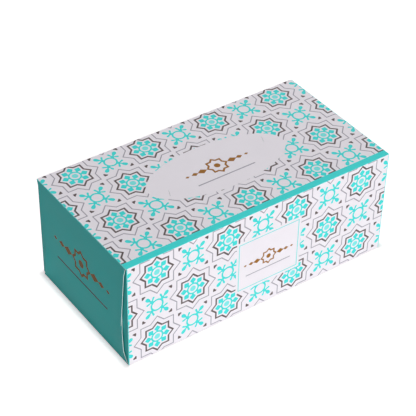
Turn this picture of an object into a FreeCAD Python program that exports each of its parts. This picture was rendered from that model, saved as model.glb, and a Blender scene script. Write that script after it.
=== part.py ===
import FreeCAD, Part
import math
import os
from FreeCAD import Vector

# A sealed carton of facial tissues, lying on its base and still unopened.
# One die-cut blank of coated board is creased into a tube of four panels with a glued seam at the
# back of the base. Each end is shut by two dust flaps, then a bottom flap, then a top flap glued
# over it. A perforated oval in the top panel is torn out for use. Nothing opens or shows the inside,
# so the carton with its film, stack of tissues and glue is one solid.
# Millimetres. Origin at the centre of the base, +X along the length, -Y to the front, +Z up.

# Closed carton, over its end flaps
LENGTH = 230.0
WIDTH = 119.0
HEIGHT = 90.0

# Coated boxboard, and the outer radii of its creases
BOARD = 0.45
PANEL_CREASE_RADIUS = 0.7
FLAP_CREASE_RADIUS = 0.4

# Glued seam: the base panel's raw edge stops short of the back panel
SEAM_SETBACK = 1.3

# Slot at each corner of the blank, between a flap and the panel beside it
CORNER_SLOT = 0.3

# Flaps at each end. A length runs from the crease to the free edge. The side edges first swing in
# by the relief, then taper to the end inset at the free edge.
TOP_FLAP_LENGTH = 57.6
TOP_FLAP_RELIEF = 2.4
TOP_FLAP_RELIEF_LENGTH = 8.5
TOP_FLAP_END_INSET = 6.9
BOTTOM_FLAP_LENGTH = 55.0
BOTTOM_FLAP_RELIEF = 4.7
BOTTOM_FLAP_RELIEF_LENGTH = 10.0
BOTTOM_FLAP_END_INSET = 8.3
FLAP_CORNER_RADIUS = 1.5
DUST_FLAP_LENGTH = 48.0
DUST_FLAP_RELIEF = 1.5
DUST_FLAP_RELIEF_LENGTH = 4.0
DUST_FLAP_END_INSET = 9.0

# How far the filled inside stays back from the edges of the carton, behind the flaps
INSIDE_SIDE_MARGIN = 14.0
INSIDE_HEIGHT_MARGIN = 3.0

# Perforated oval in the top panel: short cuts through the board with uncut nicks between them
OVAL_LENGTH = 122.2
OVAL_WIDTH = 52.6
OVAL_OFFSET = 1.4
PERFORATION_CUT = 3.6
PERFORATION_NICK = 1.4
CUT_WIDTH = 0.3

# A slit near each end of the oval, where a finger starts the tear
SLIT_LENGTH = 8.8
SLIT_FROM_END = 14.3
SLIT_FROM_AXIS = 7.6
SLIT_ANGLE = 68.0

# A relief curve passes this far along and across its chord before it meets the taper
RELIEF_BEND_ALONG = 0.55
RELIEF_BEND_ACROSS = 0.62

FLAPS_PER_STACK = 3
CLOSURE = FLAPS_PER_STACK * BOARD


def fillet_edges(solid, radius, wanted):
    """Round the edges whose middle point passes the test."""
    edges = [edge for edge in solid.Edges if wanted(edge.CenterOfMass)]
    return solid.makeFillet(radius, edges)


def near(value, target):
    """True where a coordinate lies on a plane."""
    return abs(value - target) < BOARD / 10


def slab(length, width, low, high):
    """A block centred over the origin between two heights."""
    return Part.makeBox(length, width, high - low, Vector(-length / 2, -width / 2, low))


def carton_tube(length):
    """The four panels as a filled tube with creased long edges and the seam's step."""
    seam_edge = WIDTH / 2 - SEAM_SETBACK
    section = [
        Vector(-length / 2, -WIDTH / 2, 0),
        Vector(-length / 2, seam_edge, 0),
        Vector(-length / 2, seam_edge, BOARD),
        Vector(-length / 2, WIDTH / 2, BOARD),
        Vector(-length / 2, WIDTH / 2, HEIGHT),
        Vector(-length / 2, -WIDTH / 2, HEIGHT),
    ]
    tube = Part.Face(Part.makePolygon(section + section[:1])).extrude(Vector(length, 0, 0))

    def on_crease(middle):
        top = near(middle.z, HEIGHT) and near(abs(middle.y), WIDTH / 2)
        base_front = near(middle.z, 0) and near(middle.y, -WIDTH / 2)
        base_back = near(middle.z, BOARD) and near(middle.y, WIDTH / 2)
        return near(middle.x, 0) and (top or base_front or base_back)

    return fillet_edges(tube, PANEL_CREASE_RADIUS, on_crease)


def wrap():
    """The tube, with its top and base panels running on over the flaps that they cover."""
    to_top_crease = LENGTH - 2 * FLAP_CREASE_RADIUS
    to_base_crease = to_top_crease - 2 * BOARD
    top_panel = carton_tube(to_top_crease).common(slab(LENGTH, WIDTH, HEIGHT - BOARD, HEIGHT))
    base_panel = carton_tube(to_base_crease).common(slab(LENGTH, WIDTH, 0, BOARD))
    return carton_tube(LENGTH - 2 * CLOSURE).fuse([top_panel, base_panel])


def flap_plate(crease_half, length, relief, relief_length, end_inset):
    """A flap lying flat: crease along Y at X = 0, growing towards +X, one board thick below Z = 0."""
    side_start = crease_half - CORNER_SLOT
    side_knee = crease_half - relief
    side_end = crease_half - end_inset
    bend_x = RELIEF_BEND_ALONG * relief_length
    bend_y = side_start - RELIEF_BEND_ACROSS * (side_start - side_knee)
    edges = [Part.LineSegment(Vector(0, -side_start, 0), Vector(0, side_start, 0)).toShape()]
    for side in (1, -1):
        start = Vector(0, side * side_start, 0)
        bend = Vector(bend_x, side * bend_y, 0)
        knee = Vector(relief_length, side * side_knee, 0)
        end = Vector(length, side * side_end, 0)
        edges.append(Part.Arc(start, bend, knee).toShape())
        edges.append(Part.LineSegment(knee, end).toShape())
    edges.append(Part.LineSegment(Vector(length, side_end, 0), Vector(length, -side_end, 0)).toShape())
    outline = Part.Wire(Part.__sortEdges__(edges))
    plate = Part.Face(outline).extrude(Vector(0, 0, -BOARD))
    plate = fillet_edges(
        plate,
        FLAP_CORNER_RADIUS,
        lambda middle: near(middle.x, length) and near(abs(middle.y), side_end),
    )
    return fillet_edges(
        plate,
        FLAP_CREASE_RADIUS,
        lambda middle: near(middle.x, 0) and near(middle.y, 0) and near(middle.z, 0),
    )


def stand_up(plate, outer_face, grow):
    """Turn a flat flap so that it grows the given way on the -X end, its print facing -X."""
    outwards = Vector(-1, 0, 0)
    turn = FreeCAD.Rotation(grow, outwards.cross(grow), outwards, "XYZ")
    standing = plate.copy()
    standing.Placement = FreeCAD.Placement(outer_face, turn)
    return standing


def top_flap():
    """Outermost flap, creased down from the top panel."""
    plate = flap_plate(
        WIDTH / 2, TOP_FLAP_LENGTH, TOP_FLAP_RELIEF, TOP_FLAP_RELIEF_LENGTH, TOP_FLAP_END_INSET
    )
    return stand_up(plate, Vector(-LENGTH / 2, 0, HEIGHT), Vector(0, 0, -1))


def bottom_flap():
    """Middle flap, creased up from the base panel and glued behind the top flap."""
    plate = flap_plate(
        WIDTH / 2,
        BOTTOM_FLAP_LENGTH,
        BOTTOM_FLAP_RELIEF,
        BOTTOM_FLAP_RELIEF_LENGTH,
        BOTTOM_FLAP_END_INSET,
    )
    return stand_up(plate, Vector(-LENGTH / 2 + BOARD, 0, 0), Vector(0, 0, 1))


def dust_flap(side):
    """Innermost flap, creased in from the front (-1) or back (+1) panel."""
    low = BOARD
    high = HEIGHT - BOARD
    plate = flap_plate(
        (high - low) / 2,
        DUST_FLAP_LENGTH,
        DUST_FLAP_RELIEF,
        DUST_FLAP_RELIEF_LENGTH,
        DUST_FLAP_END_INSET,
    )
    crease = Vector(-LENGTH / 2 + 2 * BOARD, side * WIDTH / 2, (high + low) / 2)
    return stand_up(plate, crease, Vector(0, -side, 0))


def closed_end():
    """The four flaps of the -X end."""
    return [dust_flap(-1), dust_flap(1), bottom_flap(), top_flap()]


def filled_inside():
    """Tissues, film and the hidden overlaps of the flaps, out to the back of the top flaps."""
    return slab(
        LENGTH - 2 * BOARD,
        WIDTH - 2 * INSIDE_SIDE_MARGIN,
        INSIDE_HEIGHT_MARGIN,
        HEIGHT - INSIDE_HEIGHT_MARGIN,
    )


def cut_through_top(length, x, y, degrees):
    """One straight knife cut through the top panel's board."""
    knife = Part.makeBox(length, CUT_WIDTH, BOARD, Vector(-length / 2, -CUT_WIDTH / 2, 0))
    knife.rotate(Vector(0, 0, 0), Vector(0, 0, 1), degrees)
    knife.translate(Vector(x, y, HEIGHT - BOARD))
    return knife


def perforation():
    """Cuts evenly spaced round the oval."""
    oval = Part.Ellipse(Vector(OVAL_OFFSET, 0, 0), OVAL_LENGTH / 2, OVAL_WIDTH / 2)
    line = oval.toShape()
    count = round(line.Length / (PERFORATION_CUT + PERFORATION_NICK))
    cuts = []
    for point in line.discretize(count + 1)[:-1]:
        along = oval.tangent(oval.parameter(point))[0]
        heading = math.degrees(math.atan2(along.y, along.x))
        cuts.append(cut_through_top(PERFORATION_CUT, point.x, point.y, heading))
    return cuts


def finger_slits():
    """The two slits, one near each end of the oval, each the other turned by half a turn."""
    reach = OVAL_LENGTH / 2 - SLIT_FROM_END
    return [
        cut_through_top(
            SLIT_LENGTH, OVAL_OFFSET + side * reach, side * SLIT_FROM_AXIS, SLIT_ANGLE
        )
        for side in (-1, 1)
    ]


def tissue_box():
    """The whole sealed carton as one solid."""
    near_end = closed_end()
    far_end = [flap.copy() for flap in near_end]
    for flap in far_end:
        flap.rotate(Vector(0, 0, 0), Vector(0, 0, 1), 180)
    closed = wrap().fuse(near_end + far_end + [filled_inside()])
    return closed.cut(perforation() + finger_slits()).removeSplitter().Solids[0]


NODES = {"tissue_box": tissue_box}

os.makedirs("parts", exist_ok=True)
for name, make in NODES.items():
    shape = make()
    shape.exportStep("parts/" + name + ".step")
    box = shape.BoundBox
    print(name, shape.ShapeType, "valid", shape.isValid(), "volume", round(shape.Volume, 1))
    print("size", round(box.XLength, 3), round(box.YLength, 3), round(box.ZLength, 3))
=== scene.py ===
import math

import bmesh
import bpy
from bpy.props import FloatProperty, FloatVectorProperty, IntProperty, PointerProperty
from mathutils import Matrix, Vector
from mathutils.geometry import delaunay_2d_cdt


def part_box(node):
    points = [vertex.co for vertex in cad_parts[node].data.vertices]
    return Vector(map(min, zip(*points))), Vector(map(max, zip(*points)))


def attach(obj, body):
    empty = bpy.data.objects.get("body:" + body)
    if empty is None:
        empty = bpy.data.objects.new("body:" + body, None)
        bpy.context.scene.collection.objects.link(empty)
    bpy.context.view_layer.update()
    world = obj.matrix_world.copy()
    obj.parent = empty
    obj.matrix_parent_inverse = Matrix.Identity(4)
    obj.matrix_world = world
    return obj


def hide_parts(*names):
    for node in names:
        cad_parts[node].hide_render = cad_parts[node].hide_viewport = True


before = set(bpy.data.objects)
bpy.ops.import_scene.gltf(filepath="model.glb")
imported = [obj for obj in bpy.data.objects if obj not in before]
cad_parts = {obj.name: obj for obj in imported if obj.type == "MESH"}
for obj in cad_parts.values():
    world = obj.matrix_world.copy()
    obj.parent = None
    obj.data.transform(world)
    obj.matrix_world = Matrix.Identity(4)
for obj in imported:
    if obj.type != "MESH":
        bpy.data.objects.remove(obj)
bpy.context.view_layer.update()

bl_info = {
    "name": "Tissue carton",
    "version": (1, 0, 0),
    "blender": (4, 5, 0),
    "location": "View3D > Sidebar > Tissue carton",
    "description": "Folds, prints and lights a sealed carton of facial tissues",
    "category": "Object",
}

# Metres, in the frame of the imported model: +X along the carton, -Y to the front, +Z up
MM = 0.001
NODE = "tissue_box"
LOW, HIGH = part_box(NODE)
LENGTH, WIDTH, HEIGHT = HIGH - LOW
MIDDLE = (LOW + HIGH) / 2

HALF_ROOT = math.sqrt(0.5)


def size(name, description, default):
    """A length that the user can change."""
    return FloatProperty(name=name, description=description, default=default, min=0.0, unit="LENGTH")


def share(name, description, default):
    """A plain number from nought to a few."""
    return FloatProperty(name=name, description=description, default=default, min=0.0)


def angle(name, description, degrees):
    """A turn, kept in radians."""
    return FloatProperty(
        name=name, description=description, default=math.radians(degrees), subtype="ANGLE"
    )


def from_screen(red, green, blue):
    """The linear colour of screen values from 0 to 255."""
    def linear(value):
        value /= 255
        return value / 12.92 if value <= 0.04045 else ((value + 0.055) / 1.055) ** 2.4

    return tuple(linear(value) for value in (red, green, blue))


def colour(name, description, screen):
    """A colour that the user can change, given by its screen values."""
    return FloatVectorProperty(
        name=name,
        description=description,
        default=from_screen(*screen),
        min=0.0,
        max=1.0,
        size=3,
        subtype="COLOR",
    )


class BoardSizes(bpy.types.PropertyGroup):
    """The folding boxboard and how it is creased."""

    thickness: size("Board", "Thickness of the board", 0.44 * MM)
    layer: size("Layer", "Step from one flap's face to the next", 0.45 * MM)
    panel_crease: size("Panel crease", "Outer radius of the four long creases", 0.7 * MM)
    flap_crease: size("Flap crease", "Outer radius of the creases at the ends", 0.35 * MM)
    seam_setback: size("Seam setback", "Base panel's raw edge, short of the back panel", 1.3 * MM)
    seam_strip: size("Seam strip", "Width of the glued strip above the base panel", 14 * MM)
    seam_strip_end: size("Strip end", "How far the glued strip stops short of each end", 10 * MM)
    crown: size("Crown", "How far the filled carton swells its top and long sides", 0.12 * MM)
    end_crown: size("End crown", "How far the filled carton swells its ends", 0.3 * MM)
    grid: size("Grid", "Spacing of the mesh across a panel", 8 * MM)
    support: size("Support", "First row of the mesh beside a crease", 0.4 * MM)
    arc_steps: IntProperty(name="Arc steps", description="Faces round a crease", default=5, min=1)


class FlapSizes(bpy.types.PropertyGroup):
    """The end flaps: length, then how their sides swing in by a relief curve and taper."""

    top_length: size("Top flap", "From crease to free edge", 57.6 * MM)
    top_relief: size("Top relief", "How far its sides swing in", 2.4 * MM)
    top_relief_length: size("Top relief length", "Length of that curve", 8.5 * MM)
    top_inset: size("Top inset", "How far its sides are in at the free edge", 6.9 * MM)
    top_lift: size("Top lift", "How far its free corners stand off", 0.3 * MM)
    bottom_length: size("Bottom flap", "From crease to free edge", 55 * MM)
    bottom_relief: size("Bottom relief", "How far its sides swing in", 4.7 * MM)
    bottom_relief_length: size("Bottom relief length", "Length of that curve", 10 * MM)
    bottom_inset: size("Bottom inset", "How far its sides are in at the free edge", 8.3 * MM)
    dust_length: size("Dust flaps", "From crease to free edge", 48 * MM)
    dust_relief: size("Dust relief", "How far their sides swing in", 1.5 * MM)
    dust_relief_length: size("Dust relief length", "Length of that curve", 4 * MM)
    dust_inset: size("Dust inset", "How far their sides are in at the free edge", 9 * MM)
    front_rise: size("Front rise", "How far the front dust flaps' creases stand out", 0.5 * MM)
    front_sink: size("Front sink", "Length over which those flaps sink back in", 2 * MM)
    corner: size("Free corners", "Radius of the free corners", 1.5 * MM)
    top_side_lift: size("Top side lift", "How far its unglued sides stand off", 0.25 * MM)
    bottom_side_lift: size("Bottom side lift", "How far its unglued sides stand off", 0.9 * MM)


class TearOutSizes(bpy.types.PropertyGroup):
    """The perforated oval in the top panel."""

    length: size("Oval length", "Along the carton", 122.2 * MM)
    width: size("Oval width", "Across the carton", 52.6 * MM)
    offset: size("Oval offset", "Its centre, from the middle of the carton", 1.4 * MM)
    cut: size("Cut", "Length of one knife cut", 3.6 * MM)
    nick: size("Nick", "Uncut board between two cuts", 1.4 * MM)
    cut_width: size("Cut width", "Opening of a cut", 0.08 * MM)
    slit_width: size("Slit width", "Opening of a finger slit", 0.22 * MM)
    slit_length: size("Finger slit", "Length of the slit near each end", 8.8 * MM)
    slit_from_end: size("Slit from end", "From the oval's end to the slit", 14.3 * MM)
    slit_from_axis: size("Slit from axis", "From the oval's long axis", 7.6 * MM)
    slit_angle: angle("Slit angle", "Turn of the slit from the carton's length", 68)


class PatternSizes(bpy.types.PropertyGroup):
    """The repeat of eight-pointed stars and cross flowers."""

    pitch_along: size("Pitch along", "Star to flower, along the carton", 29.96 * MM)
    pitch_around: size("Pitch around", "Star to flower, around the carton", 29.99 * MM)
    first_along: size("First star along", "From the left end", 24.5 * MM)
    first_around: size("First star around", "From the front fold, over the top", 45.97 * MM)
    thick_star: size("Thick star", "Middle of its line to its centre", 9.4 * MM)
    thick_line: size("Thick line", "Width of the inner star's line", 1.3 * MM)
    thin_star: size("Thin star", "Middle of its line to its centre", 13.6 * MM)
    thin_line: size("Thin line", "Width of the outer star's line", 0.8 * MM)
    petal_place: size("Petal place", "Centre of a petal from the star's centre", 7.6 * MM)
    petal_reach: size("Petal reach", "From the petal's centre to its tip", 2.8 * MM)
    petal_half_width: size("Petal half width", "Where its side corners are cut", 2.35 * MM)
    petal_neck: size("Petal neck", "Half width of the neck to the ring", 0.85 * MM)
    star_ring: size("Star ring", "Radius of the ring in the star", 4.45 * MM)
    star_ring_line: size("Star ring line", "Width of that ring", 1.35 * MM)
    star_disc: size("Star disc", "Radius of the light disc", 2.4 * MM)
    flower_ring: size("Flower ring", "Radius of the cross flower's ring", 4.7 * MM)
    flower_ring_line: size("Flower ring line", "Width of that ring", 1.45 * MM)
    knot_place: size("Knot place", "Knot of the leaves from the flower's centre", 6.1 * MM)
    knot_radius: size("Knot radius", "Radius of the knot", 1.4 * MM)
    bud_place: size("Bud place", "Widest part of a bud from the centre", 11.2 * MM)
    bud_tail: size("Bud tail", "From its widest part inwards", 3.0 * MM)
    bud_tip: size("Bud tip", "From its widest part outwards", 1.8 * MM)
    bud_half_width: size("Bud half width", "Half of its widest part", 1.6 * MM)
    leaf_near: size("Leaf start", "Along the leaf's axis", 4.7 * MM)
    leaf_near_side: size("Leaf start side", "Across the leaf's axis", 4.3 * MM)
    leaf_far: size("Leaf end", "Along the leaf's axis", 8.0 * MM)
    leaf_far_side: size("Leaf end side", "Across the leaf's axis", 2.9 * MM)
    leaf_half_width: size("Leaf half width", "Half of its width in its middle", 0.68 * MM)
    drop_start: size("Drop start", "Flat side of a drop from the flower's centre", 14.9 * MM)
    drop_point: size("Drop point", "Its point from the flower's centre", 17.6 * MM)
    drop_half_width: size("Drop half width", "Half of its flat side", 1.65 * MM)
    drop_notch: size("Drop notch", "How far its flat side is notched", 0.2 * MM)
    softness: size("Ink edge", "Half of the soft edge of the ink", 0.07 * MM)


class FieldSizes(bpy.types.PropertyGroup):
    """Plain fields of the print, and the small ornament on them."""

    oval_length: size("Bare oval length", "Unprinted oval on the tear-out", 118.6 * MM)
    oval_width: size("Bare oval width", "Unprinted oval on the tear-out", 52.2 * MM)
    band: size("Band", "Coloured band on the top, along the front fold", 6.2 * MM)
    label_along: size("Label along", "Centre of the front label, from the middle", 5.7 * MM)
    label_up: size("Label up", "Centre of the front label, above the base", 44.3 * MM)
    label_length: size("Label length", "Frame of the front label", 53 * MM)
    label_height: size("Label height", "Frame of the front label", 42.8 * MM)
    label_line: size("Label line", "Width of the frame", 0.6 * MM)
    label_margin: size("Label margin", "Blank strip outside the frame", 2.3 * MM)
    ink_on_top: size("Ink on top", "How far the ends' colour runs on to the top", 0.5 * MM)
    ink_on_sides: size("Ink on sides", "How far it runs on to front and back", 0.2 * MM)
    ornament_star: size("Ornament star", "Middle of its line to its centre", 4.6 * MM)
    ornament_line: size("Ornament line", "Width of its line", 1.2 * MM)
    ornament_disc: size("Ornament disc", "Radius of its centre", 1.9 * MM)
    ornament_lozenge: size("Ornament lozenge", "Half length of its first lozenge", 3.3 * MM)
    ornament_gap: size("Ornament gap", "From centre to centre of its lozenges", 5.2 * MM)
    rule_below: size("Rule below", "From the ornament down to its rule", 10 * MM)
    rule_length: size("Rule length", "Length of the thin rule", 40 * MM)
    rule_line: size("Rule line", "Width of the thin rule", 0.8 * MM)
    end_ornament_scale: share("End ornament", "Its size on the ends against the top", 1.7)
    end_ornament_up: size("End ornament up", "Its height above the base", 52 * MM)


class PrintColours(bpy.types.PropertyGroup):
    """Inks and board."""

    ground: colour("Ground", "Coated white board", (248, 243, 250))
    teal: colour("Teal", "Stars, flowers, band and ends", (73, 230, 227))
    light_teal: colour("Light teal", "Discs in the stars", (134, 240, 239))
    grey_brown: colour("Grey brown", "Thick stars and drops", (98, 86, 86))
    pale_grey: colour("Pale grey", "Thin stars", (166, 163, 174))
    gold_brown: colour("Gold brown", "Ornament", (160, 108, 44))
    # The raw edge is pale board with a cyan tint: a painted reflection of the teal flaps around it
    raw_edge: colour("Raw edge", "Cut edge of the board", (228, 246, 246))
    board_back: colour("Board back", "Uncoated inside of the board", (150, 140, 126))


class StageSettings(bpy.types.PropertyGroup):
    """Floor, lights and camera."""

    floor_size: size("Floor", "Side of the square floor", 12.0)
    floor_grey: share("Floor grey", "Share of the lamps' light that the camera sees on the floor", 0.9)
    floor_bounce: share("Floor bounce", "Share of light that the floor throws back on the carton", 0.5)
    floor_white: share("Floor white", "Glow that brings the bare floor to white", 0.54)
    room_light: share("Room light", "Even light from all around", 0.05)
    top_light: share("Top light", "Light on a card that faces the top lamp", 0.47)
    top_lamp: size("Top lamp", "Side of the lamp above", 0.16)
    front_light: share("Front light", "Light on a card that faces the front lamp", 0.935)
    front_lamp: size("Front lamp", "Side of the lamp in front", 1.2)
    rear_light: share("Rear light", "Light on a card that faces the rear lamp", 0.55)
    rear_lamp: size("Rear lamp", "Side of the lamp behind", 1.2)
    lamp_distance: size("Lamp distance", "From the carton to each lamp", 3.0)
    camera_turn: angle("Camera turn", "From the front towards the left end", 35.903)
    camera_rise: angle("Camera rise", "Above the floor", 38.919)
    camera_roll: angle("Camera roll", "Tilt of the picture", 1.253)
    camera_distance: size("Camera distance", "To the aimed point", 1.0658)
    camera_lens: FloatProperty(
        name="Lens", description="Focal length", default=123.82, min=1.0, subtype="DISTANCE_CAMERA"
    )


class CartonSettings(bpy.types.PropertyGroup):
    """Everything that the panel shows."""

    board: PointerProperty(type=BoardSizes)
    flaps: PointerProperty(type=FlapSizes)
    tear_out: PointerProperty(type=TearOutSizes)
    pattern: PointerProperty(type=PatternSizes)
    fields: PointerProperty(type=FieldSizes)
    colours: PointerProperty(type=PrintColours)
    stage: PointerProperty(type=StageSettings)


# Where the camera looks, from the centre of the base
CAMERA_AIM = Vector((-2.12 * MM, 5.26 * MM, 48.38 * MM))
CAMERA_SENSOR_MM = 36.0
TOP_LAMP_FROM = Vector((-0.01, -0.006, 1.0))
FRONT_LAMP_FROM = Vector((-0.045, -1.0, 0.11))
REAR_LAMP_FROM = Vector((0.9, 1.0, 0.16))
FLOOR_BELOW = 0.1 * MM

# The floor's own white is a little warm, against the light that comes back off the teal ends
FLOOR_GLOW = (1.0, 0.94, 0.95, 1.0)

# Mesh face materials, in the order of the carton's slots
PRINTED, CUT_EDGE, INSIDE = range(3)
SHARP_ANGLE = math.radians(35)
WELD = 0.002 * MM

# The relief curve of a flap rises with this power of the distance from the crease
RELIEF_POWER = 0.8


class Girth:
    """The way round the carton: from the base's raw edge over front, top and back to the glued strip.

    A place on it is a distance from the front fold of the top, positive over the top, negative down
    the front. It is also the second coordinate on the flat blank; the first is along X.
    """

    BASE, FRONT, TOP, BACK, STRIP = range(5)

    def __init__(self, board, front_rise):
        self.radius = board.panel_crease
        self.crown = board.crown
        half = WIDTH / 2
        self.corners = [-HEIGHT, 0.0, WIDTH, WIDTH + HEIGHT - board.layer]
        self.start = -HEIGHT - (WIDTH - board.seam_setback)
        self.end = self.corners[3] + board.seam_strip
        self.points = [
            Vector((-half, 0)),
            Vector((-half, HEIGHT)),
            Vector((half, HEIGHT)),
            Vector((half, board.layer)),
        ]
        self.ways = [
            Vector((-1, 0)),
            Vector((0, 1)),
            Vector((1, 0)),
            Vector((0, -1)),
            Vector((-1, 0)),
        ]
        end_x = LENGTH / 2 - board.flap_crease
        side_x = end_x - 2 * board.layer
        strip_x = end_x - board.seam_strip_end
        self.half_lengths = [end_x - board.layer, side_x + front_rise, end_x, side_x, strip_x]

    def flat_range(self, leg):
        """Where a panel's flat part starts and ends."""
        starts = [self.start] + [corner + self.radius for corner in self.corners]
        ends = [corner - self.radius for corner in self.corners] + [self.end]
        return starts[leg], ends[leg]

    def outwards(self, leg):
        """Which way a panel faces."""
        return Vector((-self.ways[leg].y, self.ways[leg].x))

    def on_leg(self, leg, around):
        """Y and Z on a panel's plane."""
        corner = max(leg - 1, 0)
        return self.points[corner] + (around - self.corners[corner]) * self.ways[leg]

    def at_crease(self, around):
        """The crease that a distance falls in, and how far through it, from 0 to 1."""
        for index, corner in enumerate(self.corners):
            through = (around - corner + self.radius) / (2 * self.radius)
            if 0 < through < 1:
                return index, through
        return None, 0.0

    def leg_at(self, around):
        """The panel that a distance falls on."""
        return sum(around > corner for corner in self.corners)

    def half_length(self, around):
        """Half of the carton's length there, without the flaps."""
        crease, through = self.at_crease(around)
        if crease is None:
            return self.half_lengths[self.leg_at(around)]
        before, after = self.half_lengths[crease:crease + 2]
        return before + (after - before) * through

    def place(self, x, around):
        """The point in space for a place on the blank's panels."""
        crease, through = self.at_crease(around)
        if crease is not None:
            turn = through * math.pi / 2
            arrive, leave = self.ways[crease], self.ways[crease + 1]
            centre = self.points[crease] + self.radius * (leave - arrive)
            spot = centre + self.radius * (math.sin(turn) * arrive - math.cos(turn) * leave)
            return Vector((x, spot.x, spot.y))
        leg = self.leg_at(around)
        spot = self.on_leg(leg, around)
        if leg in (self.FRONT, self.TOP, self.BACK):
            start, end = self.flat_range(leg)
            across = (2 * around - start - end) / (end - start)
            along = x / self.half_lengths[leg]
            spot = spot + self.crown * (1 - across ** 2) * (1 - along ** 2) * self.outwards(leg)
        return Vector((x, spot.x, spot.y))


class Sheet:
    """The printed face of the board: one sheet of faces, each corner knowing its place on the blank."""

    def __init__(self):
        self.mesh = bmesh.new()
        self.blank = self.mesh.verts.layers.float_vector.new("blank")

    def corner(self, place, along, around):
        """Add one corner."""
        vert = self.mesh.verts.new(place)
        vert[self.blank] = (along, around, 0)
        return vert

    def face(self, verts):
        """Add one face, wound so that its printed side faces out."""
        flat = [vert[self.blank] for vert in verts]
        area = sum(a.x * b.y - b.x * a.y for a, b in zip(flat, flat[1:] + flat[:1]))
        self.mesh.faces.new(verts if area > 0 else verts[::-1])

    def grid(self, rows):
        """Faces between rows of corners."""
        for near, far in zip(rows, rows[1:]):
            for k in range(len(near) - 1):
                self.face([near[k], near[k + 1], far[k + 1], far[k]])

    def finish(self, name):
        """Weld the patches and write the mesh, with the blank as its UV map, in metres."""
        bmesh.ops.remove_doubles(self.mesh, verts=self.mesh.verts, dist=WELD)
        layer = self.mesh.loops.layers.uv.new("blank")
        for face in self.mesh.faces:
            for loop in face.loops:
                loop[layer].uv = loop.vert[self.blank].xy
        mesh = bpy.data.meshes.new(name)
        self.mesh.to_mesh(mesh)
        self.mesh.free()
        return mesh


def spaced(start, end, spacing):
    """Evenly spaced values from start to end."""
    count = max(1, round((end - start) / spacing))
    return [start + (end - start) * k / count for k in range(count + 1)]


def supported(start, end, board):
    """Evenly spaced values with one more close to each end, beside the creases."""
    inner = spaced(start + board.support, end - board.support, board.grid)
    return [start] + inner + [end]


def add_wrap(sheet, girth, board):
    """Base, front, back and glued strip, with all four long creases. The top panel is added apart."""
    fractions = [x / (LENGTH / 2) for x in supported(-LENGTH / 2, LENGTH / 2, board)]

    def rows(first, last):
        distances = []
        for leg in range(first, last + 1):
            if leg != Girth.TOP:
                distances += supported(*girth.flat_range(leg), board)
            if leg < last or leg < Girth.TOP:
                crease = girth.corners[leg]
                distances += spaced(
                    crease - girth.radius, crease + girth.radius, 2 * girth.radius / board.arc_steps
                )[1:]
        return distances

    lower = rows(Girth.BASE, Girth.FRONT)
    upper = rows(Girth.TOP, Girth.STRIP)
    upper.insert(0, girth.flat_range(Girth.TOP)[1])
    for distances in (lower, sorted(set(upper))):
        grid = []
        for around in distances:
            half = girth.half_length(around)
            row = []
            for fraction in fractions:
                x = fraction * half
                row.append(sheet.corner(girth.place(x, around), x, around))
            grid.append(row)
        sheet.grid(grid)
    return fractions


def cut_outline(path, width):
    """A narrow cut that follows a path of points and comes to a point at both ends."""
    left, right = [], []
    for before, here, after in zip(path, path[1:], path[2:]):
        side = (after - before).normalized().orthogonal() * width / 2
        left.append(here + side)
        right.append(here - side)
    return [path[0]] + right + [path[-1]] + left[::-1]


def perforation(tear_out):
    """The knife cuts round the oval."""
    fine_steps = 1440
    cut_steps = 4
    half_length, half_width = tear_out.length / 2, tear_out.width / 2

    def on_oval(turn):
        x = tear_out.offset + half_length * math.cos(turn)
        return Vector((x, half_width * math.sin(turn)))

    turns = [2 * math.pi * k / fine_steps for k in range(fine_steps + 1)]
    travelled = [0.0]
    for before, after in zip(turns, turns[1:]):
        travelled.append(travelled[-1] + (on_oval(after) - on_oval(before)).length)

    def at(distance):
        index = next(k for k, value in enumerate(travelled) if value >= distance)
        return on_oval(turns[index])

    count = round(travelled[-1] / (tear_out.cut + tear_out.nick))
    stride = travelled[-1] / count
    cuts = []
    for k in range(count):
        path = [at(k * stride + tear_out.cut * step / cut_steps) for step in range(cut_steps + 1)]
        cuts.append(cut_outline(path, tear_out.cut_width))
    return cuts


def finger_slits(tear_out):
    """The two slits, each the other turned by half a turn about the oval's centre."""
    reach = tear_out.length / 2 - tear_out.slit_from_end
    way = Vector((math.cos(tear_out.slit_angle), math.sin(tear_out.slit_angle)))
    steps = 4
    slits = []
    for side in (-1, 1):
        middle = Vector((tear_out.offset + side * reach, side * tear_out.slit_from_axis))
        path = [middle + (k / steps - 0.5) * tear_out.slit_length * way for k in range(steps + 1)]
        slits.append(cut_outline(path, tear_out.slit_width))
    return slits


def add_top_panel(sheet, girth, board, tear_out, fractions):
    """The top panel, with the perforation and the finger slits cut through it."""
    start, end = girth.flat_range(Girth.TOP)
    rows = supported(start, end, board)
    half = girth.half_lengths[Girth.TOP]
    columns = [fraction * half for fraction in fractions]
    front_y = -WIDTH / 2
    border = [Vector((x, front_y + start)) for x in columns[:-1]]
    border += [Vector((half, front_y + around)) for around in rows[:-1]]
    border += [Vector((x, front_y + end)) for x in columns[:0:-1]]
    border += [Vector((-half, front_y + around)) for around in rows[:0:-1]]
    cuts = perforation(tear_out) + finger_slits(tear_out)
    clear = 1.2 * MM
    inner = [Vector((x, front_y + around)) for x in columns[1:-1] for around in rows[1:-1]]
    near = [point for cut in cuts for point in cut]
    inner = [p for p in inner if all((p - q).length > clear for q in near)]

    points = list(border)
    outlines = [list(range(len(border)))]
    for cut in cuts:
        outlines.append(list(range(len(points), len(points) + len(cut))))
        points += cut
    points += inner
    inside_constraints = 1
    flat, _, faces, _, _, sources = delaunay_2d_cdt(
        points, [], outlines, inside_constraints, WELD / 10
    )
    corners = []
    for point in flat:
        around = point.y - front_y
        corners.append(sheet.corner(girth.place(point.x, around), point.x, around))
    for face, source in zip(faces, sources):
        if len(source) == 1:
            sheet.face([corners[index] for index in face])
    loose = [vert for vert in corners if not vert.link_faces]
    bmesh.ops.delete(sheet.mesh, geom=loose, context="VERTS")
    return rows


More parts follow.
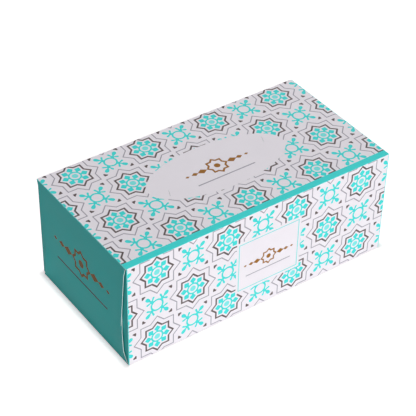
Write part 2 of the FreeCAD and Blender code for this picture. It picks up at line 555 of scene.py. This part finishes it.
def flap_inset(flap, distance):
    """How far a flap's side is in from its place at the crease."""
    if distance <= flap["relief_length"]:
        return flap["relief"] * (max(distance, 0) / flap["relief_length"]) ** RELIEF_POWER
    taper = (flap["inset"] - flap["relief"]) / (flap["length"] - flap["relief_length"])
    inset = flap["relief"] + taper * (distance - flap["relief_length"])
    into_corner = distance - (flap["length"] - flap["corner"])
    if into_corner > 0:
        into_corner = min(into_corner, flap["corner"])
        inset += flap["corner"] - math.sqrt(flap["corner"] ** 2 - into_corner ** 2)
    return inset


def add_flap(sheet, girth, board, side, leg, flap):
    """One flap, folded over the end from a panel: side is -1 or 1 along X."""
    crease_rows = supported(*girth.flat_range(leg), board)
    middle = (crease_rows[0] + crease_rows[-1]) / 2
    half = crease_rows[-1] - middle
    radius = board.flap_crease
    face_x = girth.half_lengths[leg] + radius
    corner_steps = 5

    arc = [k / board.arc_steps for k in range(board.arc_steps + 1)]
    bends = [(math.sin(t * math.pi / 2), math.cos(t * math.pi / 2), 2 * t - 1) for t in arc]
    folded = [(radius * (1 - s), radius * (1 - c), radius * along) for s, c, along in bends]
    straight = [radius + board.support]
    straight += spaced(2 * MM, flap["relief_length"], 1 * MM)
    straight += spaced(flap["relief_length"], flap["length"] - flap["corner"], board.grid)[1:]
    for k in range(1, corner_steps + 1):
        turn = k / corner_steps * math.pi / 2
        straight.append(flap["length"] - flap["corner"] * (1 - math.sin(turn)))
    folded += [(0.0, distance, distance) for distance in straight]

    rows = []
    for inwards, down, along in folded:
        narrow = (half - flap_inset(flap, down)) / half
        row = []
        for start in crease_rows:
            around = middle + (start - middle) * narrow
            spot = girth.on_leg(leg, around) - down * girth.outwards(leg)
            across = (2 * spot.x / WIDTH, 2 * spot.y / HEIGHT - 1)
            swell = board.end_crown * (1 - across[0] ** 2) * (1 - across[1] ** 2)
            free = (start - middle) / half
            lift = flap["lift"] * (down / flap["length"]) ** 2 * free ** 4
            rise = min(down / flap["relief_length"], 1)
            press = min(max((flap["covered"] + 2 * MM - down) / (8 * MM), 0), 1)
            lift += flap["side_lift"] * rise * press * free ** 10
            lift -= flap["rise"] * min(down / flap["sink"], 1)
            x = side * (face_x - inwards + swell + lift)
            blank_x = side * (face_x + along)
            row.append(sheet.corner(Vector((x, spot.x, spot.y)), blank_x, around))
        rows.append(row)
    sheet.grid(rows)


def flap_shapes(flaps):
    """The three kinds of flap, by the panel that they hang on."""
    top = {
        "length": flaps.top_length,
        "relief": flaps.top_relief,
        "relief_length": flaps.top_relief_length,
        "inset": flaps.top_inset,
        "rise": 0.0,
        "sink": flaps.front_sink,
        "lift": flaps.top_lift,
        "side_lift": flaps.top_side_lift,
        "covered": flaps.top_length + HEIGHT,
        "corner": flaps.corner,
    }
    bottom = {
        "length": flaps.bottom_length,
        "relief": flaps.bottom_relief,
        "relief_length": flaps.bottom_relief_length,
        "inset": flaps.bottom_inset,
        "rise": 0.0,
        "sink": flaps.front_sink,
        "lift": 0.0,
        "side_lift": flaps.bottom_side_lift,
        "covered": HEIGHT - flaps.top_length,
        "corner": flaps.corner,
    }
    dust = {
        "length": flaps.dust_length,
        "relief": flaps.dust_relief,
        "relief_length": flaps.dust_relief_length,
        "inset": flaps.dust_inset,
        "rise": 0.0,
        "sink": flaps.front_sink,
        "lift": 0.0,
        "side_lift": 0.0,
        "covered": 0.0,
        "corner": flaps.corner,
    }
    front_dust = dict(dust, rise=flaps.front_rise)
    return {Girth.TOP: top, Girth.BASE: bottom, Girth.FRONT: front_dust, Girth.BACK: dust}


def folded_sheet(settings):
    """The whole blank as one folded sheet of no thickness."""
    board = settings.board
    girth = Girth(board, settings.flaps.front_rise)
    sheet = Sheet()
    fractions = add_wrap(sheet, girth, board)
    add_top_panel(sheet, girth, board, settings.tear_out, fractions)
    for leg, flap in flap_shapes(settings.flaps).items():
        for side in (-1, 1):
            add_flap(sheet, girth, board, side, leg, flap)
    return sheet.finish("carton")


def thicken(carton, board):
    """Give the sheet its board: a printed face, an inside face and raw edges."""
    solidify = carton.modifiers.new("board", "SOLIDIFY")
    solidify.thickness = board.thickness
    solidify.offset = -1
    solidify.use_even_offset = True
    solidify.use_quality_normals = True
    solidify.material_offset_rim = CUT_EDGE
    solidify.material_offset = INSIDE
    evaluated = carton.evaluated_get(bpy.context.evaluated_depsgraph_get())
    thick = bpy.data.meshes.new_from_object(evaluated)
    thin = carton.data
    carton.modifiers.clear()
    carton.data = thick
    bpy.data.meshes.remove(thin)
    thick.name = "carton"
    thick.shade_smooth()
    thick.set_sharp_from_angle(angle=SHARP_ANGLE)


def carried(value, low, high, start, end):
    """A value carried from one range to another."""
    return start + (end - start) * (value - low) / (high - low)


def lay_out_picture(mesh, girth):
    """A second UV map, for the picture that stands in for the nodes in other programs.

    Front, top and back take most of it in one piece. The row beside them holds the base, the flaps
    and the glued strip, then the inside of the board and its raw edges.
    """
    half = LENGTH / 2
    flap_reach = 60 * MM
    slack = 2 * MM
    shares = {}
    for side in (-1, 1):
        for leg, part in ((Girth.TOP, 11), (Girth.BASE, 11), (Girth.FRONT, 5), (Girth.BACK, 5)):
            shares[leg, side] = part
    shares[Girth.BASE, 0] = 12
    shares[Girth.STRIP, 0] = 3
    shares["inside"] = 12
    shares["edge"] = 4
    gap = 0.006
    unit = (1 - gap * (len(shares) + 1)) / sum(shares.values())
    row = {}
    start = gap
    for name, part in shares.items():
        row[name] = (start, start + part * unit)
        start += part * unit + gap
    panels = (gap, 0.765)
    beside = (0.775, 1 - gap)
    corners = [girth.start] + girth.corners + [girth.end]

    def spot(name, x, around, turn):
        if name == "edge":
            return row[name][turn in (1, 2)], beside[turn in (2, 3)]
        if name == "inside":
            u = carried(around, girth.start, girth.end, *row[name])
            return u, carried(x, -half - flap_reach, half + flap_reach, *beside)
        if name is None:
            u = carried(around, -HEIGHT - slack, WIDTH + HEIGHT + slack, gap, 1 - gap)
            return u, carried(x, -half - slack, half + slack, *panels)
        leg, side = name
        low, high = corners[leg] - slack, corners[leg + 1] + slack
        if side == 0:
            u = carried(around, low, high, *row[name])
            return u, carried(x, -half - slack, half + slack, *beside)
        u = carried(abs(x), half - slack, half + flap_reach, *row[name])
        return u, carried(around, low, high, *beside)

    blank = mesh.uv_layers["blank"].data
    picture = mesh.uv_layers.new(name="OFBake").data
    for face in mesh.polygons:
        flat = [blank[index].uv for index in face.loop_indices]
        x, around = sum((each for each in flat), Vector((0, 0))) / len(flat)
        leg = girth.leg_at(around)
        if face.material_index == CUT_EDGE:
            name = "edge"
        elif face.material_index == INSIDE:
            name = "inside"
        elif abs(x) > half + MM / 5:
            name = (leg, -1 if x < 0 else 1)
        elif leg in (Girth.BASE, Girth.STRIP):
            name = (leg, 0)
        else:
            name = None
        for turn, index in enumerate(face.loop_indices):
            picture[index].uv = spot(name, *blank[index].uv, turn)


class Formula:
    """A number that a material's nodes work out at each point, so that print shapes read as sums."""

    def __init__(self, tree, socket):
        self.tree = tree
        self.socket = socket

    def work(self, operation, *others):
        """One maths node, fed by this number and the others."""
        node = self.tree.nodes.new("ShaderNodeMath")
        node.operation = operation
        for place, value in enumerate((self,) + others):
            if isinstance(value, Formula):
                self.tree.links.new(value.socket, node.inputs[place])
            else:
                node.inputs[place].default_value = value
        return Formula(self.tree, node.outputs["Value"])

    def __add__(self, other):
        return self.work("ADD", other)

    def __sub__(self, other):
        return self.work("SUBTRACT", other)

    def __mul__(self, other):
        return self.work("MULTIPLY", other)

    def __truediv__(self, other):
        return self.work("DIVIDE", other)

    def __abs__(self):
        return self.work("ABSOLUTE")

    def smaller(self, other):
        """The smaller of two numbers: joins two shapes, or meets two masks."""
        return self.work("MINIMUM", other)

    def larger(self, other):
        """The larger of two numbers: meets two shapes, or joins two masks."""
        return self.work("MAXIMUM", other)

    def flipped(self):
        """One less this: turns a mask inside out."""
        return self.work("MULTIPLY_ADD", -1.0, 1.0)

    def inside(self, softness):
        """A mask: 1 where this distance is under nought, with a soft edge."""
        node = self.tree.nodes.new("ShaderNodeMapRange")
        self.tree.links.new(self.socket, node.inputs["Value"])
        node.inputs["From Min"].default_value = -softness
        node.inputs["From Max"].default_value = softness
        node.inputs["To Min"].default_value = 1.0
        node.inputs["To Max"].default_value = 0.0
        return Formula(self.tree, node.outputs["Result"])


def reach(a, b):
    """The length of a line whose sides are two numbers."""
    return (a * a + b * b).work("SQRT")


def line(distance, middle, width):
    """A distance that is under nought inside a line drawn where another distance has a value."""
    return abs(distance - middle) - width / 2


def from_nearest(along, around, pattern, shift):
    """Distances along and around from the nearest star, or with a shift of a half, flower.

    Stars and flowers alternate on a square lattice, so each kind is a lattice turned by 45 degrees.
    """
    p = (along - (pattern.first_along - LENGTH / 2)) / pattern.pitch_along
    q = (around - pattern.first_around) / pattern.pitch_around
    rise = (p + q) * 0.5 + shift
    fall = (p - q) * 0.5 + shift
    rise = rise - rise.work("ROUND")
    fall = fall - fall.work("ROUND")
    x = abs((rise + fall) * pattern.pitch_along)
    y = abs((rise - fall) * pattern.pitch_around)
    return x, y


def star_shapes(along, around, pattern):
    """Masks of one star: thin line, thick line, teal petals and ring, and light disc."""
    soft = pattern.softness
    x, y = from_nearest(along, around, pattern, 0.0)
    far, near = x.larger(y), x.smaller(y)
    diagonal = (x + y) * HALF_ROOT
    off_diagonal = (far - near) * HALF_ROOT
    eight_points = far.smaller(diagonal)
    thin = line(eight_points, pattern.thin_star, pattern.thin_line).inside(soft)
    thick = line(eight_points, pattern.thick_star, pattern.thick_line).inside(soft)
    out = far.larger(diagonal)
    aside = near.smaller(off_diagonal)
    petal = abs(out - pattern.petal_place) + aside - pattern.petal_reach
    petal = petal.larger(aside - pattern.petal_half_width)
    neck = (aside - pattern.petal_neck).larger(line(out, pattern.petal_place - 2 * MM, 3 * MM))
    radius = reach(x, y)
    ring = line(radius, pattern.star_ring, pattern.star_ring_line)
    teal = petal.smaller(neck).smaller(ring).inside(soft)
    disc = (radius - pattern.star_disc).inside(soft)
    return thin, thick, teal, disc


def flower_shapes(along, around, pattern):
    """Masks of one cross flower: teal ring, knots, buds and leaves, and grey drops."""
    soft = pattern.softness
    x, y = from_nearest(along, around, pattern, 0.5)
    far, near = x.larger(y), x.smaller(y)
    out = (x + y) * HALF_ROOT
    aside = (far - near) * HALF_ROOT
    ring = line(reach(x, y), pattern.flower_ring, pattern.flower_ring_line)
    knot = reach(out - pattern.knot_place, aside) - pattern.knot_radius
    past = out - pattern.bud_place
    stretched = (past / pattern.bud_tip).larger(past / -pattern.bud_tail)
    bud = (reach(stretched, aside / pattern.bud_half_width) - 1.0) * pattern.bud_half_width
    stem = (aside - pattern.leaf_half_width).larger(line(out, 8.3 * MM, 3 * MM))
    run = Vector((pattern.leaf_far - pattern.leaf_near, pattern.leaf_far_side - pattern.leaf_near_side))
    to_far = far - pattern.leaf_near
    to_near = near - pattern.leaf_near_side
    through = (to_far * (run.x / run.length_squared) + to_near * (run.y / run.length_squared))
    through = through.larger(0.0).smaller(1.0)
    leaf = reach(to_far - through * run.x, to_near - through * run.y)
    leaf = leaf - (through + 1.5) * (pattern.leaf_half_width / 2)
    teal = ring.smaller(knot).smaller(bud).smaller(stem).smaller(leaf).inside(soft)
    notched = aside * (-pattern.drop_notch / pattern.drop_half_width) - out
    drop = (out + aside - pattern.drop_point).larger(notched + pattern.drop_start + pattern.drop_notch)
    drop = drop.larger(aside - pattern.drop_half_width).inside(soft)
    return teal, drop


def ornament(along, across, fields, scale, soft):
    """Masks of the plain ornament: a star between lozenges, and a thin rule below."""
    x, y = abs(along), abs(across)
    eight_points = x.larger(y).smaller((x + y) * HALF_ROOT)
    shape = line(eight_points, fields.ornament_star * scale, fields.ornament_line * scale)
    shape = shape.smaller(reach(x, y) - fields.ornament_disc * scale)
    for k in range(3):
        place = (fields.ornament_star * 1.42 + fields.ornament_gap * (k + 0.75)) * scale
        half = fields.ornament_lozenge * scale * (1 - 0.28 * k)
        shape = shape.smaller(abs(x - place) + y * 1.6 - half)
    rule = (x - fields.rule_length / 2 * scale).larger(
        line(across, -fields.rule_below * scale, fields.rule_line * scale)
    )
    return shape.inside(soft), rule.inside(soft)


MIX_FACTOR, MIX_UNDER, MIX_OVER = 0, 6, 7
MIX_RESULT = 2


def paint(tree, under, ink, mask):
    """Lay an ink over a colour where the mask is 1."""
    node = tree.nodes.new("ShaderNodeMix")
    node.data_type = "RGBA"
    tree.links.new(mask.socket, node.inputs[MIX_FACTOR])
    for place, value in ((MIX_UNDER, under), (MIX_OVER, ink)):
        if isinstance(value, bpy.types.NodeSocket):
            tree.links.new(value, node.inputs[place])
        else:
            node.inputs[place].default_value = (*value, 1.0)
    return node.outputs[MIX_RESULT]


def noise(tree, source, scale, detail=2.0, roughness=0.5):
    """Noise from 0 to 1 over a vector in metres."""
    node = tree.nodes.new("ShaderNodeTexNoise")
    node.inputs["Scale"].default_value = scale
    node.inputs["Detail"].default_value = detail
    node.inputs["Roughness"].default_value = roughness
    tree.links.new(source, node.inputs["Vector"])
    return Formula(tree, node.outputs["Fac"])


def bump(tree, height, distance, strength, below=None):
    """Raise the surface by a height from 0 to 1."""
    node = tree.nodes.new("ShaderNodeBump")
    node.inputs["Distance"].default_value = distance
    node.inputs["Strength"].default_value = strength
    tree.links.new(height.socket, node.inputs["Height"])
    if below is not None:
        tree.links.new(below, node.inputs["Normal"])
    return node.outputs["Normal"]


def new_material(name):
    """A material with its own nodes, its surface shader and its object coordinates."""
    material = bpy.data.materials.new(name)
    material.use_nodes = True
    tree = material.node_tree
    shader = next(node for node in tree.nodes if node.type == "BSDF_PRINCIPLED")
    coordinates = tree.nodes.new("ShaderNodeTexCoord")
    return material, tree, shader, coordinates.outputs["Object"]


def printed_board(settings):
    """Coated board with its print: the star pattern, plain fields, inks, and creases that are partly
    worn and carry a painted highlight.
    """
    pattern, fields, colours = settings.pattern, settings.fields, settings.colours
    soft = pattern.softness
    material, tree, shader, solid_place = new_material("printed board")
    blank = tree.nodes.new("ShaderNodeUVMap")
    blank.uv_map = "blank"
    split = tree.nodes.new("ShaderNodeSeparateXYZ")
    tree.links.new(blank.outputs["UV"], split.inputs["Vector"])
    along = Formula(tree, split.outputs["X"])
    around = Formula(tree, split.outputs["Y"])
    top_half = WIDTH / 2
    from_top_middle = around - top_half

    # Plain fields
    oval = settings.tear_out
    stretch = fields.oval_length / fields.oval_width
    tear_out = reach((along - oval.offset) / stretch, from_top_middle)
    tear_out = (tear_out - fields.oval_width / 2).inside(soft)
    label_x = abs(along - fields.label_along) - fields.label_length / 2
    label_y = abs(around - (fields.label_up - HEIGHT)) - fields.label_height / 2
    label = label_x.larger(label_y)
    label_field = (label - fields.label_margin).inside(soft)
    label_frame = line(label, 0.0, fields.label_line).inside(soft)
    side_panel = (abs(from_top_middle) - top_half).inside(soft).flipped()
    flat_line = side_panel * (-2 * settings.board.layer) + LENGTH / 2
    crease_line = around.inside(soft) * settings.flaps.front_rise + flat_line
    ink_run = side_panel * (fields.ink_on_sides - fields.ink_on_top) + fields.ink_on_top
    end_line = flat_line - ink_run
    end_field = (abs(along) - end_line).inside(soft).flipped()
    base_field = (around + HEIGHT).inside(soft)
    strip_field = (around - (WIDTH + HEIGHT)).inside(soft).flipped()
    band = (abs(around - fields.band / 2) - fields.band / 2).inside(soft)

    # Pattern, left out on the plain fields
    bare = tear_out.larger(label_field).larger(base_field).larger(strip_field)
    open_field = bare.flipped()
    thin, thick, star_teal, disc = star_shapes(along, around, pattern)
    flower_teal, drop = flower_shapes(along, around, pattern)
    print_colour = paint(tree, colours.ground, colours.pale_grey, thin * open_field)
    print_colour = paint(tree, print_colour, colours.grey_brown, thick.larger(drop) * open_field)
    print_colour = paint(tree, print_colour, colours.teal, star_teal.larger(flower_teal) * open_field)
    print_colour = paint(tree, print_colour, colours.light_teal, disc * open_field)
    print_colour = paint(tree, print_colour, colours.teal, label_frame)
    print_colour = paint(tree, print_colour, colours.teal, band)
    print_colour = paint(tree, print_colour, colours.teal, end_field)

    # Ornament on the tear-out, the front label and both ends
    top_gold, top_rule = ornament(along - oval.offset, from_top_middle, fields, 1.25, soft)
    label_middle = fields.label_up - HEIGHT
    front_gold, front_rule = ornament(
        along - fields.label_along, around - label_middle, fields, 1.0, soft
    )
    end_middle = LENGTH / 2 + HEIGHT - fields.end_ornament_up
    end_gold, end_rule = ornament(
        from_top_middle,
        abs(along) * -1.0 + end_middle,
        fields,
        fields.end_ornament_scale,
        soft,
    )
    print_colour = paint(tree, print_colour, colours.pale_grey, top_rule.larger(front_rule))
    print_colour = paint(tree, print_colour, colours.grey_brown, end_rule)
    gold = top_gold.larger(front_gold).larger(end_gold)
    print_colour = paint(tree, print_colour, colours.gold_brown, gold)

    # Ink lies a little unevenly, and the creases turn lighter in patches, partly worn to the board and
    # partly a painted highlight along the folds
    flat_place = blank.outputs["UV"]
    cloud = noise(tree, flat_place, 60.0, 3.0)
    grain = noise(tree, flat_place, 900.0, 2.0)
    shade = (cloud - 0.5) * 0.05 + (grain - 0.5) * 0.03 + 1.0
    tint = tree.nodes.new("ShaderNodeVectorMath")
    tint.operation = "SCALE"
    tree.links.new(print_colour, tint.inputs[0])
    tree.links.new(shade.socket, tint.inputs["Scale"])
    long_crease = abs(abs(from_top_middle) - top_half)
    low_crease = abs(abs(around - top_half) - (top_half + HEIGHT))
    end_crease = abs(abs(along) - crease_line)
    crease_distance = long_crease.smaller(low_crease).smaller(end_crease)
    near_crease = (crease_distance - 0.3 * MM).inside(0.3 * MM)
    patchy = (noise(tree, flat_place, 350.0, 3.0, 0.65) * -1.0 + 0.5).inside(0.12)
    # Painted highlight together with wear: the creases are brought towards the ground colour in patches
    wear_and_painted_highlight = near_crease * patchy * 0.4
    worn_and_highlighted = paint(tree, tint.outputs["Vector"], colours.ground, wear_and_painted_highlight)
    tree.links.new(worn_and_highlighted, shader.inputs["Base Color"])

    rough = (cloud - 0.5) * 0.12 + (grain - 0.5) * 0.1 + wear_and_painted_highlight * 0.3 + 0.4
    tree.links.new(rough.socket, shader.inputs["Roughness"])
    waves = bump(tree, noise(tree, solid_place, 90.0, 1.0), 0.05 * MM, 0.35)
    fibres = bump(tree, noise(tree, solid_place, 1500.0, 2.0), 0.01 * MM, 0.3, waves)
    tree.links.new(fibres, shader.inputs["Normal"])
    shader.inputs["Specular IOR Level"].default_value = 0.05
    return material


def fibrous(name, base, uneven, scale, roughness, relief):
    """Bare board: a matt, fibrous colour."""
    material, tree, shader, place = new_material(name)
    fibres = noise(tree, place, scale, 3.0, 0.6)
    fine = noise(tree, place, scale * 4, 2.0)
    mask = fibres * 0.7 + fine * 0.3
    dark = tuple(value * (1 - uneven) for value in base)
    tree.links.new(paint(tree, dark, tuple(base), mask), shader.inputs["Base Color"])
    shader.inputs["Roughness"].default_value = roughness
    shader.inputs["Specular IOR Level"].default_value = 0.3
    tree.links.new(bump(tree, fine, relief, 0.5), shader.inputs["Normal"])
    return material


def raw_edge(settings):
    """The pale cut edge of the board, its colour tinted cyan as a painted reflection of the teal flaps
    around it.
    """
    return fibrous("raw edge", settings.colours.raw_edge, 0.12, 1400.0, 0.85, 0.03 * MM)


def board_back(settings):
    """The grey-brown inside of the board."""
    return fibrous("board back", settings.colours.board_back, 0.18, 500.0, 0.9, 0.02 * MM)


class TISSUE_OT_carton(bpy.types.Operator):
    """Fold the printed blank into the sealed carton"""

    bl_idname = "tissue.carton"
    bl_label = "Carton"

    def execute(self, context):
        settings = context.scene.tissue_carton
        carton = bpy.data.objects.new("carton", folded_sheet(settings))
        context.scene.collection.objects.link(carton)
        for material in (printed_board(settings), raw_edge(settings), board_back(settings)):
            carton.data.materials.append(material)
        thicken(carton, settings.board)
        lay_out_picture(carton.data, Girth(settings.board, settings.flaps.front_rise))
        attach(carton, "root")
        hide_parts(NODE)
        return {"FINISHED"}


def add_floor(stage):
    """A pale floor that looks white where nothing shades it, and keeps the shadow."""
    half = stage.floor_size / 2
    mesh = bpy.data.meshes.new("floor")
    corners = [(x * half, y * half, -FLOOR_BELOW) for x, y in ((-1, -1), (1, -1), (1, 1), (-1, 1))]
    mesh.from_pydata(corners, [], [(0, 1, 2, 3)])
    floor = bpy.data.objects.new("floor", mesh)
    bpy.context.scene.collection.objects.link(floor)

    material = bpy.data.materials.new("floor")
    material.use_nodes = True
    tree = material.node_tree
    tree.nodes.clear()
    matt = tree.nodes.new("ShaderNodeBsdfDiffuse")
    seen = seen_rays(tree)
    grey = seen * (stage.floor_grey - stage.floor_bounce) + stage.floor_bounce
    tree.links.new(grey.socket, matt.inputs["Color"])
    glow = tree.nodes.new("ShaderNodeEmission")
    glow.inputs["Color"].default_value = FLOOR_GLOW
    tree.links.new((seen * stage.floor_white).socket, glow.inputs["Strength"])
    both = tree.nodes.new("ShaderNodeAddShader")
    tree.links.new(matt.outputs["BSDF"], both.inputs[0])
    tree.links.new(glow.outputs["Emission"], both.inputs[1])
    output = tree.nodes.new("ShaderNodeOutputMaterial")
    tree.links.new(both.outputs["Shader"], output.inputs["Surface"])
    mesh.materials.append(material)


def seen_rays(tree):
    """1 for what the camera sees, straight or by gloss or glass, and 0 for the light itself."""
    path = tree.nodes.new("ShaderNodeLightPath")
    camera, gloss, glass = [
        Formula(tree, path.outputs[name])
        for name in ("Is Camera Ray", "Is Glossy Ray", "Is Transmission Ray")
    ]
    return camera.larger(gloss).larger(glass)


def light_room(stage):
    """Even light from all around, which looks white to the camera."""
    world = bpy.data.worlds.new("studio")
    bpy.context.scene.world = world
    world.use_nodes = True
    tree = world.node_tree
    background = next(node for node in tree.nodes if node.type == "BACKGROUND")
    background.inputs["Color"].default_value = (1.0, 1.0, 1.0, 1.0)
    strength = seen_rays(tree) * (1 - stage.room_light) + stage.room_light
    tree.links.new(strength.socket, background.inputs["Strength"])


def add_lamp(name, way, level, side, distance):
    """A square soft lamp. A white card that faces it shows the given level."""
    light = bpy.data.lights.new(name, "AREA")
    light.shape = "SQUARE"
    light.size = side
    light.energy = level * math.pi ** 2 * distance ** 2
    lamp = bpy.data.objects.new(name, light)
    bpy.context.scene.collection.objects.link(lamp)
    lamp.location = MIDDLE + way.normalized() * distance
    lamp.rotation_euler = (-way).to_track_quat("-Z", "Y").to_euler()


def add_camera(stage):
    """The camera, at the photograph's angle."""
    data = bpy.data.cameras.new("camera")
    data.sensor_fit = "HORIZONTAL"
    data.sensor_width = CAMERA_SENSOR_MM
    data.lens = stage.camera_lens
    camera = bpy.data.objects.new("camera", data)
    bpy.context.scene.collection.objects.link(camera)
    flat = math.cos(stage.camera_rise)
    back = Vector(
        (
            -math.sin(stage.camera_turn) * flat,
            -math.cos(stage.camera_turn) * flat,
            math.sin(stage.camera_rise),
        )
    )
    turn = (-back).to_track_quat("-Z", "Y").to_matrix().to_4x4()
    roll = Matrix.Rotation(stage.camera_roll, 4, "Z")
    place = Matrix.Translation(CAMERA_AIM + back * stage.camera_distance)
    camera.matrix_world = place @ turn @ roll
    bpy.context.scene.camera = camera


class TISSUE_OT_stage(bpy.types.Operator):
    """Set up the floor, the soft lamps and the camera"""

    bl_idname = "tissue.stage"
    bl_label = "Stage"

    def execute(self, context):
        stage = context.scene.tissue_carton.stage
        context.scene.view_settings.view_transform = "Standard"
        add_floor(stage)
        light_room(stage)
        add_lamp("top lamp", TOP_LAMP_FROM, stage.top_light, stage.top_lamp, stage.lamp_distance)
        add_lamp("front lamp", FRONT_LAMP_FROM, stage.front_light, stage.front_lamp, stage.lamp_distance)
        add_lamp("rear lamp", REAR_LAMP_FROM, stage.rear_light, stage.rear_lamp, stage.lamp_distance)
        add_camera(stage)
        return {"FINISHED"}


class TISSUE_PT_carton(bpy.types.Panel):
    """Sizes, colours and the two steps"""

    bl_label = "Tissue carton"
    bl_idname = "TISSUE_PT_carton"
    bl_space_type = "VIEW_3D"
    bl_region_type = "UI"
    bl_category = "Tissue carton"

    def draw(self, context):
        settings = context.scene.tissue_carton
        for operator in (TISSUE_OT_carton, TISSUE_OT_stage):
            self.layout.operator(operator.bl_idname)
        for name in CartonSettings.__annotations__:
            group = getattr(settings, name)
            box = self.layout.box()
            box.label(text=name.replace("_", " ").capitalize())
            for field in type(group).__annotations__:
                box.prop(group, field)


CLASSES = (
    BoardSizes,
    FlapSizes,
    TearOutSizes,
    PatternSizes,
    FieldSizes,
    PrintColours,
    StageSettings,
    CartonSettings,
    TISSUE_OT_carton,
    TISSUE_OT_stage,
    TISSUE_PT_carton,
)


def register():
    """Add the settings, the steps and the panel."""
    for each in CLASSES:
        bpy.utils.register_class(each)
    bpy.types.Scene.tissue_carton = PointerProperty(type=CartonSettings)


def unregister():
    """Take them away again."""
    del bpy.types.Scene.tissue_carton
    for each in reversed(CLASSES):
        bpy.utils.unregister_class(each)


def main():
    """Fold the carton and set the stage."""
    register()
    bpy.ops.tissue.carton()
    bpy.ops.tissue.stage()


if __name__ == "__main__":
    main()
